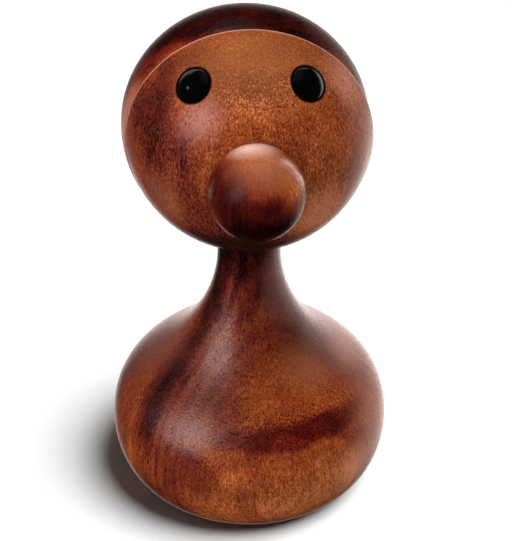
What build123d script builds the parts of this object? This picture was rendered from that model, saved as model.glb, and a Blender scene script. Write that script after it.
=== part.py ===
"""Eyeglasses display stand: a turned wooden figure whose ball nose carries the bridge of the glasses.

Millimetres. +Z is up, the figure faces -Y, and the origin is on the table at the body's own axis.
The head pieces are drawn about their own turning axis first, with +Z out of the face and +Y up
the forehead, and place_head() then stands them on the neck.
"""
import os
from math import asin, cos, degrees, radians, sin

from build123d import *

# Body: a gourd-shaped bulb that runs up into a slim neck
BASE_FLAT_R = 28.8          # flat underside that rests on the table
BULB_R = 42.8               # widest radius of the bulb
BULB_Z = 20.3               # height of the widest place
SHOULDER = (22.1, 50.0)     # (radius, height) where the bulb turns from convex to hollow
THROAT = (9.95, 75.4)       # where the hollow has become the neck
NECK_R = 9.8
NECK_END_Z = 96.0           # inside the head, before the end is hollowed to the ball

# Head: two turned halves glued on a flat joint plane
HEAD_Z = 124.8              # height of the head's turning axis
HEAD_TURN = 1.8             # degrees the glued head looks towards +X
JOINT_FORWARD = 9.1         # joint plane in front of the widest section of the back half
BACK_R = 35.8
BACK_DEPTH = 28.6           # from the widest section to the back pole
BACK_SHIFT = -1.05          # the halves are glued slightly out of line
BACK_RIM_ROUND = 0.4
FACE_R = 35.5
FACE_DEPTH = 25.9           # joint plane to the face's pole
FACE_EDGE_LEAN = 14.7       # degrees the cheek leans in as it leaves the joint plane
FACE_CHEEK_PULL = 15.3      # how far the cheek holds its direction
FACE_POLE_PULL = 23.4       # how flat the middle of the face is
FACE_RIM_ROUND = 0.5

# Nose: a ball let into a cup in the face
NOSE_R = 13.55
NOSE_FORWARD = 30.3         # ball centre in front of the joint plane
NOSE_ASIDE = 1.1            # the cup is drilled a little off the head's axis
NOSE_RISE = 1.0

# Eyes: domed pegs in counterbored sockets, square to the face
EYE_SPREAD = 15.85
EYE_RISE = 25.3
EYE_SOCKET_R = 5.3
EYE_SOCKET_DEPTH = 1.7
EYE_HEAD_R = 4.95
EYE_HEAD_EDGE = 1.0         # straight side below the dome
EYE_HEAD_DOME = 1.6
EYE_SHANK_R = 2.5
EYE_SHANK_LENGTH = 7.0
SOCKET_CUT_RISE = 5.0       # the socket's cut runs this far clear of the face

# Dowels, all blind and glued
GLUE_GAP = 0.05             # radial gap round each dowel
END_GAP = 0.5               # air left past each dowel's end
NECK_DOWEL_R = 4.0
NECK_DOWEL_LENGTH = 30.0
NECK_DOWEL_IN_HEAD = 14.0
HEAD_DOWEL_R = 4.0
HEAD_DOWEL_IN_FACE = 6.0
HEAD_DOWEL_IN_BACK = 16.0
NOSE_DOWEL_R = 3.0
NOSE_DOWEL_IN_FACE = 7.0
NOSE_DOWEL_IN_BALL = 9.0
DOWEL_CHAMFER = 0.8


def turned(edges):
    """Solid of revolution about Z from a closed outline drawn in the XZ plane."""
    return revolve(make_face(edges), axis=Axis.Z)


def oval_quarter(radius, level, height):
    """Quarter of an oval, upright at (radius, level) and level where it meets the Z axis."""
    pull = 0.5523   # the Bezier handle length that follows a circle
    side = (radius, level + pull * height)
    crown = (pull * radius, level + height)
    return Bezier((radius, level), side, crown, (0, level + height))


def rod(radius, bottom, top):
    """Plain cylinder on the Z axis between two heights."""
    return Pos(0, 0, bottom) * Cylinder(radius, top - bottom, align=(Align.CENTER, Align.CENTER, Align.MIN))


def dowel(radius, bottom, top):
    """Wooden dowel on the Z axis with both ends chamfered."""
    stick = rod(radius - GLUE_GAP, bottom, top)
    return chamfer(stick.edges().filter_by(GeomType.CIRCLE), DOWEL_CHAMFER)


def dowel_hole(radius, bottom, top):
    """Blind space for a dowel: bottom and top are the dowel's own ends."""
    return rod(radius, bottom - END_GAP, top + END_GAP)


def place_head(shape):
    """Move a shape from the head's turning frame to its place on the neck."""
    return Rot(0, 0, HEAD_TURN) * Pos(0, -JOINT_FORWARD, HEAD_Z) * Rot(90, 0, 0) * shape


def face_solid():
    """Front half of the head as turned, before the nose and eyes are let in."""
    lean = radians(FACE_EDGE_LEAN)
    cheek = (FACE_R - FACE_CHEEK_PULL * sin(lean), FACE_CHEEK_PULL * cos(lean))
    outline = Bezier((FACE_R, 0), cheek, (FACE_POLE_PULL, FACE_DEPTH), (0, FACE_DEPTH))
    section = Plane.XZ * (outline + Polyline((0, FACE_DEPTH), (0, 0), (FACE_R, 0)))
    return turned(section.edges())


def face_normal(across, up):
    """Place and outward direction of the face's surface at a point seen from the front."""
    dome = face_solid().faces().filter_by(GeomType.PLANE, reverse=True)[0]
    sight = Axis((across, up, 2 * FACE_DEPTH), (0, 0, -1))
    hits = [hit for hit in dome.find_intersection_points(sight) if hit[0].Z > 0]
    point, normal = hits[0]
    return point, normal if normal.Z > 0 else -normal


def eye_frames():
    """Local frames of the two eyes, on the face surface with +Z outward."""
    frames = {}
    for name, side in (("left_eye_peg", -1), ("right_eye_peg", 1)):
        point, normal = face_normal(side * EYE_SPREAD, EYE_RISE)
        frames[name] = Plane(origin=point, z_dir=normal)
    return frames


def eye_socket():
    """Counterbore and shank hole of one eye, in the eye's frame."""
    shank_end = -EYE_SOCKET_DEPTH - EYE_SHANK_LENGTH
    hole = rod(EYE_SHANK_R, shank_end - END_GAP, 0)
    return rod(EYE_SOCKET_R, -EYE_SOCKET_DEPTH, SOCKET_CUT_RISE) + hole


def eye_peg():
    """Domed button head on a shank, seated on the floor of its counterbore."""
    seat = -EYE_SOCKET_DEPTH
    edge_top = seat + EYE_HEAD_EDGE
    dome = oval_quarter(EYE_HEAD_R, edge_top, EYE_HEAD_DOME)
    side = Polyline((0, edge_top + EYE_HEAD_DOME), (0, seat), (EYE_HEAD_R, seat), (EYE_HEAD_R, edge_top))
    head = turned((Plane.XZ * (side + dome)).edges())
    return head + rod(EYE_SHANK_R - GLUE_GAP, seat - EYE_SHANK_LENGTH, seat)


def on_nose(shape):
    """Move a shape from the head's turning axis to the line through the nose's centre."""
    return Pos(NOSE_ASIDE, NOSE_RISE, 0) * shape


def nose_span():
    """Ends of the nose dowel along the head's axis."""
    cup_floor = NOSE_FORWARD - NOSE_R
    return cup_floor - NOSE_DOWEL_IN_FACE, cup_floor + NOSE_DOWEL_IN_BALL


def make_body():
    """Bulb and neck in one turning, with the neck's end hollowed to fit the head."""
    foot = EllipticalCenterArc((BASE_FLAT_R, BULB_Z), BULB_R - BASE_FLAT_R, BULB_Z, -90, arc_size=90)
    flank_points = [(BULB_R, BULB_Z), SHOULDER, THROAT, (NECK_R, NECK_END_Z)]
    flank = Spline(*flank_points, tangents=[(0, 1), (0, 1)])
    close = Polyline((NECK_R, NECK_END_Z), (0, NECK_END_Z), (0, 0), (BASE_FLAT_R, 0))
    solid = turned((Plane.XZ * (foot + flank + close)).edges())
    solid -= place_head(face_solid())
    solid -= place_head(back_solid())
    return solid - dowel_hole(NECK_DOWEL_R, *neck_dowel_span())


def neck_dowel_span():
    """Ends of the neck dowel in height."""
    top = HEAD_Z - BACK_R + NECK_DOWEL_IN_HEAD
    return top - NECK_DOWEL_LENGTH, top


def back_solid():
    """Back half of the head as turned, without its dowel holes."""
    widest = -JOINT_FORWARD
    front = CenterArc((0, widest), BACK_R, 0, degrees(asin(JOINT_FORWARD / BACK_R)))
    rear = oval_quarter(BACK_R, widest, -BACK_DEPTH)
    close = Polyline(front @ 1, (0, 0), rear @ 1)
    half = turned((Plane.XZ * (front + rear + close)).edges())
    rim = half.edges().filter_by(GeomType.CIRCLE).sort_by(Axis.Z)[-1]
    return Pos(BACK_SHIFT, 0, 0) * fillet(rim, BACK_RIM_ROUND)


def make_head_back():
    half = back_solid() - dowel_hole(HEAD_DOWEL_R, -HEAD_DOWEL_IN_BACK, HEAD_DOWEL_IN_FACE)
    return place_head(half) - dowel_hole(NECK_DOWEL_R, *neck_dowel_span())


def make_face_dome():
    solid = face_solid()
    rim = solid.edges().filter_by(GeomType.CIRCLE).sort_by(Axis.Z)[0]
    solid = fillet(rim, FACE_RIM_ROUND)
    solid -= on_nose(Pos(0, 0, NOSE_FORWARD) * Sphere(NOSE_R))
    solid -= on_nose(dowel_hole(NOSE_DOWEL_R, *nose_span()))
    solid -= dowel_hole(HEAD_DOWEL_R, -HEAD_DOWEL_IN_BACK, HEAD_DOWEL_IN_FACE)
    for frame in eye_frames().values():
        solid -= frame * eye_socket()
    return place_head(solid)


def make_nose_ball():
    ball = Pos(0, 0, NOSE_FORWARD) * Sphere(NOSE_R)
    return place_head(on_nose(ball - dowel_hole(NOSE_DOWEL_R, *nose_span())))


def make_parts():
    parts = {
        "body": make_body(),
        "head_back": make_head_back(),
        "face_dome": make_face_dome(),
        "nose_ball": make_nose_ball(),
        "neck_dowel": dowel(NECK_DOWEL_R, *neck_dowel_span()),
        "head_dowel": place_head(dowel(HEAD_DOWEL_R, -HEAD_DOWEL_IN_BACK, HEAD_DOWEL_IN_FACE)),
        "nose_dowel": place_head(on_nose(dowel(NOSE_DOWEL_R, *nose_span()))),
    }
    for name, frame in eye_frames().items():
        parts[name] = place_head(frame * eye_peg())
    return parts


os.makedirs("parts", exist_ok=True)
for node, shape in make_parts().items():
    export_step(shape, f"parts/{node}.step")
    box = shape.bounding_box()
    print(node, len(shape.solids()), round(shape.volume), box.min, box.max)
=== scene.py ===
import math

import bpy
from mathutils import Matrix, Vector

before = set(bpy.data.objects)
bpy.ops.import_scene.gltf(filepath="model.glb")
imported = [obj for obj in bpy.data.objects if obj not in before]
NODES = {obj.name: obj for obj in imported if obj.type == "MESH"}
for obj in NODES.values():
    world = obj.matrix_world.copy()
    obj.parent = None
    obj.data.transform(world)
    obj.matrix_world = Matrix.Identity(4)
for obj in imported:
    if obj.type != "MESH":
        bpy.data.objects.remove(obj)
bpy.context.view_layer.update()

# Lengths are millimetres and angles degrees, unless a comment says otherwise. The figure faces -Y.
# Left and right are as seen from the front, so left is -X.
MM = 0.001
EYE_PEGS = ("left_eye_peg", "right_eye_peg")
DOWELS = ("neck_dowel", "head_dowel", "nose_dowel")

# Camera: in front of the figure and looking down on it
VIEW_ELEVATION = 34.55
VIEW_DISTANCE = 624.0
VIEW_TARGET = (2.1, 0.0, 73.0)
FOCAL_LENGTH = 137.0
SENSOR_SIDE = 36.0

# The head's own axis leaves the face to the front, turned slightly to +X; the joint plane crosses it
HEAD_TURN = math.radians(1.8)
HEAD_AXIS = (math.sin(HEAD_TURN), -math.cos(HEAD_TURN), 0.0)
HEAD_JOINT = 9.1
# The face's rim is painted pale as a highlight along its edge: fully up to the first place along that axis, and
# not at all from the second
RIM_HIGHLIGHT = (HEAD_JOINT + 0.45, HEAD_JOINT + 0.95)
RIM_HIGHLIGHT_STRENGTH = 0.85
RIM_HIGHLIGHT_SPECKLE = 0.25         # how much the speckle breaks it up
# Centres of the eye sockets, and how far from them a ring of painted shadow darkens the wood round the pegs
EYE_SOCKETS = ((-15.14, -22.76, 150.1), (16.54, -21.76, 150.1))
SOCKET_SHADOW_REACH = 5.35
SOCKET_SHADOW_FADE = 0.5
SOCKET_SHADOW_STRENGTH = 0.95

# All pieces are cut from upright billets whose growth layers curve round this line
PITH = (45.0, -92.0, 0.0)
SEED_STEP = (37.0, 11.0, 53.0)      # how far apart the pieces lie in the noise
# Two waves bend the growth layers, and the second the spots too. Noise is (detail, roughness) throughout
SWAY = (26.0, 48.0, 10.0)   # size across the fibres, size along them, how far it bends
RIPPLE = (6.0, 14.0, 2.6)
WAVE_NOISE = (2.0, 0.55)
# Finer grain swings the tone: (size across the fibres, size along them, how much, noise)
MOTTLE = (6.0, 11.0, 0.18, (3.0, 0.55))
FIBRES = (0.90, 15.0, 0.30, (3.0, 0.65))
SPECKLE = (0.45, 1.0, 0.60, (2.0, 0.7))
# Thin lines between the growth layers
LINES_PER_MM = 0.55
LINE_TONE = 0.12
LINE_NOISE = (3.0, 0.6)
# Pores show where their noise rises through these two levels
PORE_SIZE = (0.50, 2.6)
PORE_NOISE = (1.0, 0.5)
PORE_LEVELS = (0.62, 0.72)
PORE_STRENGTH = 0.44
# Dark wood is plainer: the grain's contrast goes from the first to the second value between two tones
CONTRAST_TONES = (0.10, 0.65)
CONTRAST = (0.45, 1.15)

# Lacquer: its roughness in plain wood, what grain and pores add to it, and the relief they leave in it
LACQUER_ROUGHNESS = 0.31
GRAIN_ROUGHNESS = 0.30
PORE_ROUGHNESS = 0.16
GRAIN_HEIGHT = 0.6          # the grain's weight in the relief, where the pores weigh 1
RELIEF_STRENGTH = 0.55
RELIEF_DEPTH = 0.20
LACQUER_TINT = (1.0, 0.80, 0.78, 1.0)
LACQUER_IOR = 1.5

# Linear colours. The rosewood's tones run from the darkest layer to the lightest
TONES = [
    (0.00, (0.004, 0.0002, 0.0002)), (0.18, (0.030, 0.0020, 0.0010)), (0.36, (0.080, 0.0080, 0.0036)),
    (0.55, (0.125, 0.0215, 0.0050)), (0.75, (0.190, 0.0390, 0.0070)), (0.90, (0.260, 0.0660, 0.0140)),
    (1.00, (0.350, 0.1080, 0.0320)),
]
MAROON = (0.044, 0.0012, 0.0008)
TAN = (0.175, 0.059, 0.020)
DUSTY_TAN = (0.215, 0.076, 0.038)
DUSTY_ROSE = (0.300, 0.130, 0.110)
# Painted sheen: a pink-purple veil where the lacquer mirrors a bright room, partly the wood's own purple-brown
PURPLE_SHEEN = (0.150, 0.058, 0.048)
AMBER = (0.520, 0.180, 0.095)
# Pale pink of the painted sheen on the nose's top
PALE_ROSE = (0.600, 0.400, 0.340)
PORE_BROWN = (0.016, 0.0020, 0.0014)
# Pale colour of the painted highlight along the face's rim
RIM_HIGHLIGHT_PALE = (0.45, 0.25, 0.17)
# Black of the painted shadow round the eye sockets
SOCKET_SHADOW_BLACK = (0.004, 0.002, 0.002)
FLOOR_WHITE = (0.865, 0.90, 0.90, 1.0)
FLOOR_ROUGHNESS = 0.8

# Eye pegs: a faint cloud in their black and their gloss. Both go from the first value to the second as the
# noise rises through the two levels
PEG_CLOUDS_PER_MM = 0.9
PEG_NOISE = (3.0, 0.6)
PEG_LEVELS = (0.3, 0.8)
PEG_BLACKS = ((0.0002, 0.0002, 0.0003), (0.0006, 0.0006, 0.0008))
PEG_ROUGHNESS = (0.09, 0.14)
PEG_GLOSS = 0.4
# Dowels: bare wood, where straight fibres do the same
DOWEL_FIBRES_PER_MM = (2.5, 2.5, 0.25)
DOWEL_NOISE = (3.0, 0.6)
DOWEL_LEVELS = (0.3, 0.7)
DOWEL_WOODS = ((0.30, 0.17, 0.08), (0.52, 0.35, 0.19))
DOWEL_ROUGHNESS = (0.75, 0.6)
DOWEL_RELIEF = (0.4, 0.1)

# The figure of each piece's wood. rosewood() says what the columns are
BODY_LAYERS = [
    (48, 0.70), (60, 0.74), (64, 0.66), (66.5, 0.50), (69, 0.50), (72, 0.62), (80, 0.62), (85, 0.50),
    (88, 0.34), (90, 0.46), (92, 0.36), (94, 0.50), (96, 0.33), (97.5, 0.44), (100, 0.26), (103, 0.20),
    (106, 0.32), (110, 0.54), (118, 0.50), (126, 0.26), (134, 0.54), (142, 0.64), (150, 0.44),
]
BODY_MARKS = [
    ((14.0, -32.0, 36.2), (36.0, 36.0, 4.2), 0.45, -0.31),      # maroon band across the front
    ((0.0, -2.0, 88.0), (22.0, 22.0, 32.0), 0.25, -0.40),       # the neck is darker
    ((5.0, -42.0, 12.0), (30.0, 14.0, 13.0), 0.25, 0.17),       # bright lower front
    ((-3.0, -42.0, 25.5), (8.0, 7.0, 7.0), 0.15, 0.24),         # and a bright patch higher up
    ((27.0, -33.0, 17.0), (14.0, 12.0, 12.0), 0.25, 0.22),      # bright lower right
    ((-27.5, -23.0, 38.5), (8.0, 8.0, 12.0), 0.15, -0.15),      # core of the dark streak on the left
    ((14.0, -38.0, 31.0), (11.0, 9.0, 5.0), 0.25, -0.14),       # the band runs out below
    ((-16.0, -40.0, 24.0), (9.0, 9.0, 9.0), 0.25, -0.20),       # dark patch low on the left
    ((-11.0, -9.0, 64.0), (7.0, 8.0, 18.0), 0.25, -0.10),       # the streak where it joins the neck
    ((-22.0, -17.0, 46.0), (8.0, 9.0, 12.0), 0.25, -0.14),      # and between there and its core
    ((-6.0, -31.0, 42.0), (9.0, 9.0, 8.0), 0.25, -0.14),        # dark patch above the band's left end
    ((-8.0, -8.0, 76.0), (5.0, 6.0, 12.0), 0.25, 0.18),         # lighter left side of the neck
    ((8.0, -7.0, 76.0), (5.0, 6.0, 12.0), 0.25, 0.18),          # and right side
    ((35.0, -26.0, 19.5), (11.0, 10.0, 12.0), 0.30, 0.14),      # lighter right flank, low down
    ((-34.0, -26.0, 19.5), (11.0, 10.0, 13.0), 0.25, 0.26),     # and left flank
    ((-17.5, -37.0, 30.0), (6.0, 5.0, 4.0), 0.25, -0.14),       # small dark patch left of the middle
]
BODY_TINTS = [
    ((14.0, -32.0, 36.2), (32.0, 32.0, 4.4), MAROON, 0.55),         # band across the front
    ((33.0, -27.5, 18.0), (12.0, 11.0, 13.0), AMBER, 0.60),         # lower right
    ((28.0, 2.0, 46.0), (26.0, 22.0, 20.0), PURPLE_SHEEN, 0.75),    # painted sheen on the right shoulder
    ((-29.0, 2.0, 46.0), (22.0, 20.0, 18.0), PURPLE_SHEEN, 0.55),   # painted sheen on the left shoulder
    ((9.0, -6.0, 72.0), (8.0, 12.0, 24.0), PURPLE_SHEEN, 0.75),     # painted sheen on the right side of the neck
    ((-16.0, -32.0, 37.0), (9.0, 9.0, 8.0), PURPLE_SHEEN, 0.35),    # painted sheen left of the band
    ((17.0, -15.0, 49.0), (14.0, 13.0, 12.0), DUSTY_TAN, 0.60),     # above the band
    ((36.0, -12.0, 26.0), (12.0, 22.0, 20.0), DUSTY_TAN, 0.50),     # painted sheen on the right flank
    ((29.0, 2.0, 45.0), (10.0, 16.0, 12.0), DUSTY_ROSE, 0.60),      # painted sheen on the crest of the right shoulder
]
BODY_FLECKS = [
    ((-18.6, -31.5, 37.3), (10.0, 9.0, 9.0), 0.3, 0.7),         # left of the band
    ((-8.5, -14.4, 57.1), (7.0, 8.0, 10.0), 0.3, 0.7),          # foot of the neck
    ((14.0, -32.0, 37.5), (30.0, 12.0, 6.0), 0.3, 0.9),         # along the band
]
BACK_LAYERS = [
    (80, 0.14), (100, 0.06), (120, 0.00), (127, 0.04), (133, 0.26), (140, 0.36), (150, 0.28), (180, 0.34),
]
BACK_MARKS = [
    ((-33.0, -8.0, 138.0), (15.0, 16.0, 14.0), 0.25, 0.05),     # slightly lighter left side
    ((27.0, -9.0, 147.0), (13.0, 7.5, 12.0), 0.25, 0.60),       # orange at the right temple
    ((0.0, -11.0, 150.0), (50.0, 4.5, 40.0), 0.25, 0.30),       # paler strip along the joint
    ((-29.0, -7.0, 144.0), (12.0, 8.0, 13.0), 0.25, 0.30),      # orange at the left temple
    ((-21.5, -8.0, 152.5), (9.0, 5.5, 6.0), 0.30, 0.30),        # and above it
    ((-36.0, -9.5, 127.0), (9.0, 7.5, 34.0), 0.30, 0.50),       # pale streak beside the joint
]
BACK_TINTS = [((-36.0, -9.5, 127.0), (9.0, 7.5, 34.0), DUSTY_ROSE, 0.60)]   # the same streak
FACE_LAYERS = [
    (60, 0.58), (78, 0.62), (86, 0.54), (92, 0.66), (99, 0.52), (104, 0.62), (112, 0.48), (120, 0.58),
    (128, 0.42), (136, 0.52), (180, 0.50),
]
FACE_MARKS = [
    ((-2.0, -30.0, 94.0), (38.0, 26.0, 17.0), 0.25, -0.80),     # near-black chin: partly dark wood, partly painted shade under the face
    ((-27.0, -20.0, 140.0), (14.0, 16.0, 19.0), 0.20, -0.38),   # dark left cheek
    ((-20.0, -30.0, 128.0), (9.0, 9.0, 14.0), 0.25, -0.20),     # and towards the nose
    ((-22.5, -13.0, 152.0), (7.0, 7.0, 7.0), 0.25, -0.26),      # dark left temple
    ((-27.0, -26.0, 122.0), (9.0, 12.0, 14.0), 0.25, -0.20),    # the dark cheek goes on downwards
    ((-9.0, -32.0, 117.0), (8.0, 8.0, 14.0), 0.25, -0.18),      # painted shadow of the nose, below it
    ((-15.0, -30.0, 108.0), (24.0, 18.0, 20.0), 0.25, -0.18),   # darker left jaw
    ((-18.5, -29.5, 137.0), (10.0, 9.0, 10.0), 0.15, -0.16),    # dark below the left eye
    ((20.0, -29.0, 112.0), (13.0, 14.0, 14.0), 0.25, 0.28),     # lighter right jaw: painted sheen
    ((22.0, -29.0, 130.0), (11.0, 12.0, 16.0), 0.25, 0.12),     # and right cheek
    ((26.5, -13.5, 146.5), (11.0, 9.0, 11.0), 0.25, 0.25),      # pale right temple
    ((2.0, -17.0, 157.0), (30.0, 14.0, 6.0), 0.25, 0.10),       # smooth tan top
    ((4.0, -31.0, 145.5), (14.0, 10.0, 4.5), 0.25, 0.12),       # pale above the nose
    ((3.5, -25.5, 152.0), (12.0, 7.0, 4.0), 0.25, -0.16),       # darker between the eyes
    ((-12.5, -17.0, 154.5), (9.0, 9.0, 6.0), 0.25, -0.24),      # darker above the left eye
]
FACE_TINTS = [
    ((26.5, -13.5, 146.5), (11.0, 9.0, 11.0), DUSTY_ROSE, 0.35),    # right temple
    ((2.0, -20.0, 157.0), (38.0, 24.0, 20.0), TAN, 0.60),           # top
    ((21.0, -29.0, 112.0), (13.0, 13.0, 14.0), AMBER, 0.42),        # painted sheen on the right jaw
    ((-12.5, -29.5, 142.5), (9.0, 7.5, 8.5), DUSTY_ROSE, 0.40),     # painted sheen below the left eye
    ((-24.0, -26.0, 116.0), (12.0, 10.0, 13.0), DUSTY_TAN, 0.35),   # left jaw
]
FACE_FLECKS = [((3.7, -26.5, 150.5), (16.0, 9.0, 8.0), 0.4, 1.0)]           # between the eyes
NOSE_LAYERS = [(60, 0.58), (75, 0.64), (82, 0.54), (90, 0.60), (110, 0.58)]
NOSE_MARKS = [
    ((3.0, -50.0, 118.0), (24.0, 22.0, 16.5), 0.25, -0.60),     # near-black underside: partly dark wood, partly painted shade
    ((-10.5, -47.0, 132.0), (19.0, 16.0, 10.5), 0.20, -0.46),   # dark left flank
    ((13.0, -46.0, 134.0), (7.0, 9.0, 8.0), 0.25, 0.22),        # bright right flank, partly painted sheen of its rim
    ((6.0, -52.0, 129.5), (6.0, 5.0, 4.5), 0.25, -0.20),        # blotch below the middle
    ((13.0, -47.5, 129.0), (5.0, 6.0, 6.0), 0.25, 0.14),        # lighter beside it
    ((4.0, -43.5, 140.0), (12.0, 10.0, 5.0), 0.25, 0.22),       # orange crown
]
NOSE_TINTS = [
    ((4.5, -44.5, 137.0), (15.0, 11.0, 9.0), DUSTY_TAN, 0.60),      # upper half
    ((0.0, -36.5, 139.8), (13.0, 8.0, 4.8), PALE_ROSE, 0.80),       # painted sheen along the top
]

# The room: a dim warm light with soft bright areas, each (azimuth, elevation, core, edge, radiance),
# where core and edge are angles from the area's middle
ROOM_COLOUR = (1.0, 0.86, 0.80, 1.0)
ROOM_LIGHT = 0.03
ROOM_GLOWS = [
    (130, -14, 20, 41, 2.0),
    (178, -26, 12, 34, 2.8),
    (-140, 6, 14, 40, 0.08),
    (150, 82, 5, 35, 0.15),
]
# The lamps aim at the middle of the figure. Their places and sizes are in metres
AIM = Vector((0.0, 0.0, 0.075))
# Distant lamps that aren't mirrored: (name, azimuth, elevation, spread, energy, the group they light, the group
# that casts shadows), where None is everything
SUNS = [
    ("key", 70, 81, 16, 3.7, "figure", None),
    ("table_light", 73, 62, 42, 4.5, "table", "base"),
]
# Lamps that light the wood and aren't mirrored: (name, azimuth, elevation, distance, size, radiance)
FILLS = [
    ("front_fill", 0, 35, 1.3, (1.2, 0.9), 2.6),
    ("back_fill", 180, 8, 1.3, (1.2, 0.8), 3.0),
    ("left_fill", -55, 25, 0.9, (0.70, 0.70), 7.0),
]
# Lamps that only show as reflections: the same columns, and the group that mirrors them
WINDOWS = [
    ("left_window", -57, 26, 0.9, (0.33, 0.52), 31.0, "wood"),
    ("nose_window", -48, 24, 0.9, (0.38, 0.50), 11.0, "nose"),
    ("nose_right_rim", 160, 6, 0.9, (0.85, 0.80), 46.0, "nose"),
    ("nose_left_rim", -145, -13, 0.9, (0.50, 0.40), 6.0, "nose"),
    ("face_window", -44, 23, 0.9, (0.40, 0.60), 10.0, "face"),
    ("back_window", -150, 75, 0.9, (0.34, 0.40), 95.0, "back"),
    ("eye_rim_light", -138, 28, 0.9, (0.45, 0.70), 1.0, "eyes"),
    ("eye_top_light", 180, 45, 0.9, (0.90, 0.35), 0.7, "eyes"),
    ("eye_glint", -80, 36, 0.9, (0.06, 0.06), 5.0, "eyes"),
]
# What the lamps can be limited to, by node. The floor is the only member of "table"
GROUPS = {
    "figure": tuple(NODES),
    "table": (),
    "base": ("body",),
    "back": ("head_back",),
    "wood": ("body", "head_back", *DOWELS),
    "eyes": EYE_PEGS,
    "nose": ("nose_ball",),
    "face": ("face_dome",),
}
FLOOR_REACH = 12.0          # metres to each side, wide enough to fill every view


class Graph:
    """Writes the node tree of a material or a world: its methods add nodes and give an output to build on."""

    def __init__(self, owner):
        owner.use_nodes = True
        self.owner = owner
        self.tree = owner.node_tree
        self.tree.nodes.clear()

    def node(self, kind, settings=None, **inputs):
        made = self.tree.nodes.new(kind)
        for key, value in (settings or {}).items():
            setattr(made, key, value)
        for key, value in inputs.items():
            self.feed(made, key.replace("_", " "), value)
        return made

    def feed(self, made, key, value):
        socket = made.inputs[key]
        if hasattr(value, "is_output"):
            self.tree.links.new(value, socket)
        else:
            socket.default_value = value

    def math(self, operation, a, b=0.0, clamp=False):
        made = self.node("ShaderNodeMath", {"operation": operation, "use_clamp": clamp})
        self.feed(made, 0, a)
        self.feed(made, 1, b)
        return made.outputs[0]

    def total(self, first, *rest):
        for value in rest:
            first = self.math("ADD", first, value)
        return first

    def vector(self, operation, a, b=(0.0, 0.0, 0.0)):
        made = self.node("ShaderNodeVectorMath", {"operation": operation})
        self.feed(made, 0, a)
        self.feed(made, 1, b)
        return made.outputs["Value" if operation in ("LENGTH", "DOT_PRODUCT", "DISTANCE") else "Vector"]

    def scaled(self, a, factor):
        made = self.node("ShaderNodeVectorMath", {"operation": "SCALE"}, Scale=factor)
        self.feed(made, 0, a)
        return made.outputs["Vector"]

    def place(self, factor=1.0):
        """Place on the object in millimetres, times the factor."""
        return self.scaled(self.node("ShaderNodeTexCoord").outputs["Object"], factor / MM)

    def noise(self, where, texture, colour=False):
        detail, roughness = texture
        made = self.node("ShaderNodeTexNoise", Vector=where, Scale=1.0, Detail=detail, Roughness=roughness)
        return made.outputs["Color" if colour else "Fac"]

    def swing(self, where, amount, texture):
        """Noise that swings evenly about zero, up to about the given amount."""
        centred = self.math("SUBTRACT", self.noise(where, texture), 0.5)
        return self.math("MULTIPLY", centred, 2.0 * amount)

    def smooth(self, value, low, high, to_low=0.0, to_high=1.0):
        made = self.node("ShaderNodeMapRange", {"interpolation_type": "SMOOTHSTEP"}, Value=value)
        for key, number in (("From Min", low), ("From Max", high), ("To Min", to_low), ("To Max", to_high)):
            made.inputs[key].default_value = number
        return made.outputs["Result"]

    def mix(self, factor, a, b):
        """Blend from colour a to the plain colour b."""
        made = self.node("ShaderNodeMix", {"data_type": "RGBA"})
        for index, value in ((0, factor), (6, a), (7, (*b, 1.0))):
            self.feed(made, index, value)
        return made.outputs[2]

    def ramp(self, value, stops, blend="EASE"):
        made = self.node("ShaderNodeValToRGB", Fac=value)
        ramp = made.color_ramp
        ramp.interpolation = blend
        while len(ramp.elements) < len(stops):
            ramp.elements.new(0.5)
        for element, (place, colour) in zip(ramp.elements, stops):
            element.position = place
            element.color = (*colour, 1.0)
        return made.outputs["Color"]

    def bump(self, height, strength, depth):
        return self.node("ShaderNodeBump", Height=height, Strength=strength, Distance=depth * MM).outputs[0]

    def principled(self, **inputs):
        """Finish the material and give it back."""
        shader = self.node("ShaderNodeBsdfPrincipled", **inputs)
        out = self.node("ShaderNodeOutputMaterial")
        self.tree.links.new(shader.outputs[0], out.inputs["Surface"])
        return self.owner


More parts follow.
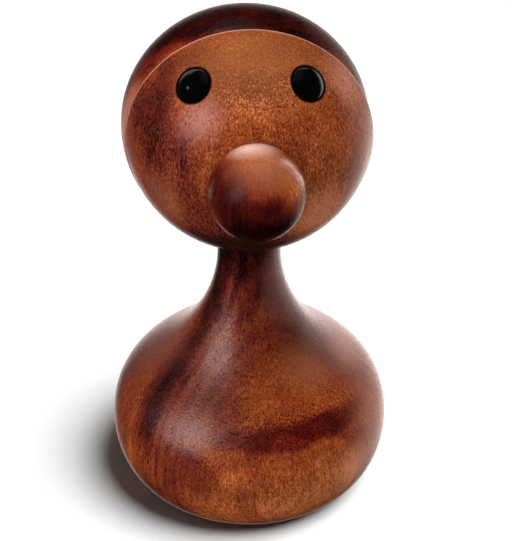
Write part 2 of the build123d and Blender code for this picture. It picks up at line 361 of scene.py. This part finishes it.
class WoodGraph(Graph):
    """Node tree of one rosewood piece, whose fibres stand upright."""

    def __init__(self, name, seed):
        super().__init__(bpy.data.materials.new(name))
        self.seed = seed
        self.mm = self.place()
        self.loose = self.vector("ADD", self.mm, tuple(seed * step for step in SEED_STEP))
        self.ripple = self.waves(*RIPPLE)

    def stretched(self, across, along):
        return self.vector("MULTIPLY", self.loose, (1.0 / across, 1.0 / across, 1.0 / along))

    def waves(self, across, along, reach):
        noise = self.noise(self.stretched(across, along), WAVE_NOISE, colour=True)
        return self.scaled(self.vector("SUBTRACT", noise, (0.5, 0.5, 0.5)), reach)

    def grain(self, across, along, amount, texture, gain=1.0):
        return self.swing(self.stretched(across, along), amount * gain, texture)

    def spot(self, centre, radii, core, amount):
        """The amount, whole inside the core fraction of an ellipsoid and fading to nothing at its radii."""
        local = self.vector("SUBTRACT", self.vector("ADD", self.mm, self.ripple), centre)
        reach = self.vector("LENGTH", self.vector("DIVIDE", local, radii))
        return self.smooth(reach, core, 1.0, amount, 0.0)

    def growth_layers(self, layers):
        """Tone of the growth layers, with thin lines between them."""
        bent = self.vector("ADD", self.vector("ADD", self.mm, self.waves(*SWAY)), self.ripple)
        from_pith = self.vector("MULTIPLY", self.vector("SUBTRACT", bent, PITH), (1.0, 1.0, 0.0))
        radius = self.vector("LENGTH", from_pith)
        inner, outer = layers[0][0], layers[-1][0]
        share = self.node("ShaderNodeMapRange", Value=radius, From_Min=inner, From_Max=outer).outputs["Result"]
        broad = self.ramp(share, [((at - inner) / (outer - inner), (tone, tone, tone)) for at, tone in layers])
        step = self.math("MULTIPLY", radius, LINES_PER_MM)
        line = self.node("ShaderNodeCombineXYZ", X=step, Y=self.seed).outputs[0]
        return self.math("ADD", broad, self.swing(line, LINE_TONE, LINE_NOISE))

    def pores(self):
        noise = self.noise(self.stretched(*PORE_SIZE), PORE_NOISE)
        return self.math("MULTIPLY", self.smooth(noise, *PORE_LEVELS), PORE_STRENGTH)

    def painted_rim_highlight(self, colour, rim, speckle):
        """Colour with a pale line of painted highlight along a rim, broken up unevenly."""
        along_axis = self.vector("DOT_PRODUCT", self.mm, HEAD_AXIS)
        rim_highlight = self.smooth(along_axis, *rim, RIM_HIGHLIGHT_STRENGTH, 0.0)
        uneven = self.math("ADD", rim_highlight, self.math("MULTIPLY", speckle, RIM_HIGHLIGHT_SPECKLE), clamp=True)
        return self.mix(uneven, colour, RIM_HIGHLIGHT_PALE)

    def socket_shadow(self, colour, centre):
        """Colour with a ring of painted shadow round a socket."""
        away = self.vector("DISTANCE", self.mm, centre)
        painted_shadow = self.smooth(away, SOCKET_SHADOW_REACH, SOCKET_SHADOW_REACH + SOCKET_SHADOW_FADE, SOCKET_SHADOW_STRENGTH, 0.0)
        return self.mix(painted_shadow, colour, SOCKET_SHADOW_BLACK)


def rosewood(name, seed, layers, marks=(), tints=(), flecks=(), rim=None, sockets=(), gloss=0.16, grit=1.0):
    """Lacquered rosewood. The growth layers are warped rings round an upright pith line.

    layers are (distance from the pith, tone) pairs.
    marks are (centre, radii, core, tone change) spots, darker or lighter.
    tints are (centre, radii, colour, strength) spots where the wood has another hue.
    flecks are (centre, radii, core, gain) spots where the speckle stands out more.
    rim is the (start, end) distance along the head's axis over which a painted highlight pales the edge.
    sockets are the centres of sockets round which a ring of painted shadow darkens the wood.
    gloss is the strength of the lacquer's reflections, and grit scales the speckle.
    """
    g = WoodGraph(name, seed)
    speckle = g.grain(*SPECKLE, gain=grit)
    if flecks:
        speckle = g.math("MULTIPLY", speckle, g.total(1.0, *(g.spot(*fleck) for fleck in flecks)))
    grain = g.total(g.grain(*FIBRES), speckle)
    tone = g.total(g.growth_layers(layers), g.grain(*MOTTLE), *(g.spot(*mark) for mark in marks))
    contrast = g.smooth(tone, *CONTRAST_TONES, *CONTRAST)
    tone = g.math("ADD", tone, g.math("MULTIPLY", grain, contrast))
    colour = g.ramp(tone, TONES, "LINEAR")
    for centre, radii, hue, strength in tints:
        colour = g.mix(g.spot(centre, radii, 0.0, strength), colour, hue)
    pores = g.pores()
    colour = g.mix(pores, colour, PORE_BROWN)
    # Painted highlight along the face's rim
    if rim:
        colour = g.painted_rim_highlight(colour, rim, speckle)
    # Rings of painted shadow round the eye sockets
    for centre in sockets:
        colour = g.socket_shadow(colour, centre)
    grain_rough = g.math("MULTIPLY", grain, GRAIN_ROUGHNESS)
    rough = g.total(grain_rough, g.math("MULTIPLY", pores, PORE_ROUGHNESS), LACQUER_ROUGHNESS)
    height = g.math("SUBTRACT", g.math("MULTIPLY", grain, GRAIN_HEIGHT), pores)
    return g.principled(
        Base_Color=colour, Roughness=rough, Normal=g.bump(height, RELIEF_STRENGTH, RELIEF_DEPTH),
        IOR=LACQUER_IOR, Specular_IOR_Level=gloss, Specular_Tint=LACQUER_TINT,
    )


def polished_black(name):
    """Eye pegs: polished black, with a faint cloud in its gloss."""
    g = Graph(bpy.data.materials.new(name))
    cloud = g.noise(g.place(PEG_CLOUDS_PER_MM), PEG_NOISE)
    colour = g.ramp(cloud, list(zip(PEG_LEVELS, PEG_BLACKS)))
    rough = g.smooth(cloud, *PEG_LEVELS, *PEG_ROUGHNESS)
    return g.principled(Base_Color=colour, Roughness=rough, IOR=LACQUER_IOR, Specular_IOR_Level=PEG_GLOSS)


def raw_dowel(name):
    """Pale unfinished dowel wood with straight fibres."""
    g = Graph(bpy.data.materials.new(name))
    fibres = g.noise(g.vector("MULTIPLY", g.place(), DOWEL_FIBRES_PER_MM), DOWEL_NOISE)
    colour = g.ramp(fibres, list(zip(DOWEL_LEVELS, DOWEL_WOODS)))
    rough = g.smooth(fibres, *DOWEL_LEVELS, *DOWEL_ROUGHNESS)
    return g.principled(Base_Color=colour, Roughness=rough, Normal=g.bump(fibres, *DOWEL_RELIEF))


def paint(material, *nodes):
    """Give every material slot of these CAD nodes the new material."""
    for node in nodes:
        for slot in NODES[node].material_slots:
            slot.material = material


def make_materials():
    paint(rosewood("body_rosewood", 1.0, BODY_LAYERS, BODY_MARKS, BODY_TINTS, BODY_FLECKS), "body")
    paint(rosewood("back_rosewood", 2.0, BACK_LAYERS, BACK_MARKS, BACK_TINTS, gloss=0.012), "head_back")
    face = rosewood(
        "face_rosewood", 3.0, FACE_LAYERS, FACE_MARKS, FACE_TINTS, FACE_FLECKS, RIM_HIGHLIGHT, EYE_SOCKETS,
        gloss=0.10,
    )
    paint(face, "face_dome")
    nose = rosewood("nose_rosewood", 4.0, NOSE_LAYERS, NOSE_MARKS, NOSE_TINTS, gloss=0.05, grit=0.5)
    paint(nose, "nose_ball")
    paint(polished_black("eye_gloss_black"), *EYE_PEGS)
    paint(raw_dowel("dowel_raw_wood"), *DOWELS)


def direction(azimuth, elevation):
    """Unit vector from the figure: azimuth 0 is the camera's side, 90 is +X, elevation is above the table."""
    turn, rise = math.radians(azimuth), math.radians(elevation)
    return Vector((math.sin(turn) * math.cos(rise), -math.cos(turn) * math.cos(rise), math.sin(rise)))


def softbox(name, azimuth, elevation, distance, size, radiance, lit, mirrored):
    """Rectangular lamp aimed at the figure: it is either mirrored in the lacquer or lights the wood itself."""
    data = bpy.data.lights.new(name, "AREA")
    data.shape = "RECTANGLE"
    data.size, data.size_y = size
    data.energy = radiance * math.pi * size[0] * size[1]
    lamp = bpy.data.objects.new(name, data)
    lamp.location = AIM + direction(azimuth, elevation) * distance
    lamp.rotation_euler = (AIM - lamp.location).to_track_quat("-Z", "Y").to_euler()
    lamp.visible_glossy = mirrored
    lamp.visible_diffuse = not mirrored
    bpy.context.scene.collection.objects.link(lamp)
    lamp.light_linking.receiver_collection = lit


def sun(name, azimuth, elevation, spread, energy, lit, shading):
    """Distant lamp that lights one collection and is not mirrored; shading limits what casts its shadow."""
    data = bpy.data.lights.new(name, "SUN")
    data.energy = energy
    data.angle = math.radians(spread)
    lamp = bpy.data.objects.new(name, data)
    lamp.rotation_euler = direction(azimuth, elevation).to_track_quat("Z", "Y").to_euler()
    lamp.visible_glossy = False
    bpy.context.scene.collection.objects.link(lamp)
    lamp.light_linking.receiver_collection = lit
    lamp.light_linking.blocker_collection = shading


def make_groups():
    """Collections outside the scene, which only say what a lamp reaches."""
    groups = {}
    for name, members in GROUPS.items():
        groups[name] = bpy.data.collections.new(name)
        for node in members:
            groups[name].objects.link(NODES[node])
    return groups


def make_room():
    """Dim room with bright soft areas, where the lacquer should mirror them."""
    world = bpy.data.worlds.new("studio")
    bpy.context.scene.world = world
    g = Graph(world)
    sight = g.node("ShaderNodeTexCoord").outputs["Generated"]
    light = ROOM_LIGHT
    for azimuth, elevation, core, edge, radiance in ROOM_GLOWS:
        toward = g.vector("DOT_PRODUCT", sight, direction(azimuth, elevation))
        cosines = (math.cos(math.radians(edge)), math.cos(math.radians(core)))
        light = g.math("ADD", light, g.smooth(toward, *cosines, 0.0, radiance))
    back = g.node("ShaderNodeBackground", Strength=light, Color=ROOM_COLOUR)
    out = g.node("ShaderNodeOutputWorld")
    g.tree.links.new(back.outputs[0], out.inputs["Surface"])


def make_lamps(groups):
    for *lamp, group, shading in SUNS:
        sun(*lamp, groups[group], groups.get(shading))
    for lamp in FILLS:
        softbox(*lamp, groups["figure"], mirrored=False)
    for *lamp, group in WINDOWS:
        softbox(*lamp, groups[group], mirrored=True)


def make_floor(groups):
    """Plain white table top, which the lacquer doesn't mirror."""
    side = FLOOR_REACH
    corners = [(-side, -side, 0), (side, -side, 0), (side, side, 0), (-side, side, 0)]
    mesh = bpy.data.meshes.new("floor")
    mesh.from_pydata(corners, [], [(0, 1, 2, 3)])
    floor = bpy.data.objects.new("floor", mesh)
    bpy.context.scene.collection.objects.link(floor)
    g = Graph(bpy.data.materials.new("floor_white"))
    mesh.materials.append(g.principled(Base_Color=FLOOR_WHITE, Roughness=FLOOR_ROUGHNESS))
    floor.visible_glossy = False
    groups["table"].objects.link(floor)


def make_camera():
    data = bpy.data.cameras.new("camera")
    data.lens = FOCAL_LENGTH
    data.sensor_width = SENSOR_SIDE
    data.sensor_fit = "AUTO"
    camera = bpy.data.objects.new("camera", data)
    back = direction(0.0, VIEW_ELEVATION)
    camera.location = (Vector(VIEW_TARGET) + back * VIEW_DISTANCE) * MM
    camera.rotation_euler = (-back).to_track_quat("-Z", "Y").to_euler()
    bpy.context.scene.collection.objects.link(camera)
    bpy.context.scene.camera = camera


groups = make_groups()
make_materials()
make_floor(groups)
make_room()
make_lamps(groups)
make_camera()
bpy.context.scene.view_settings.view_transform = "Standard"
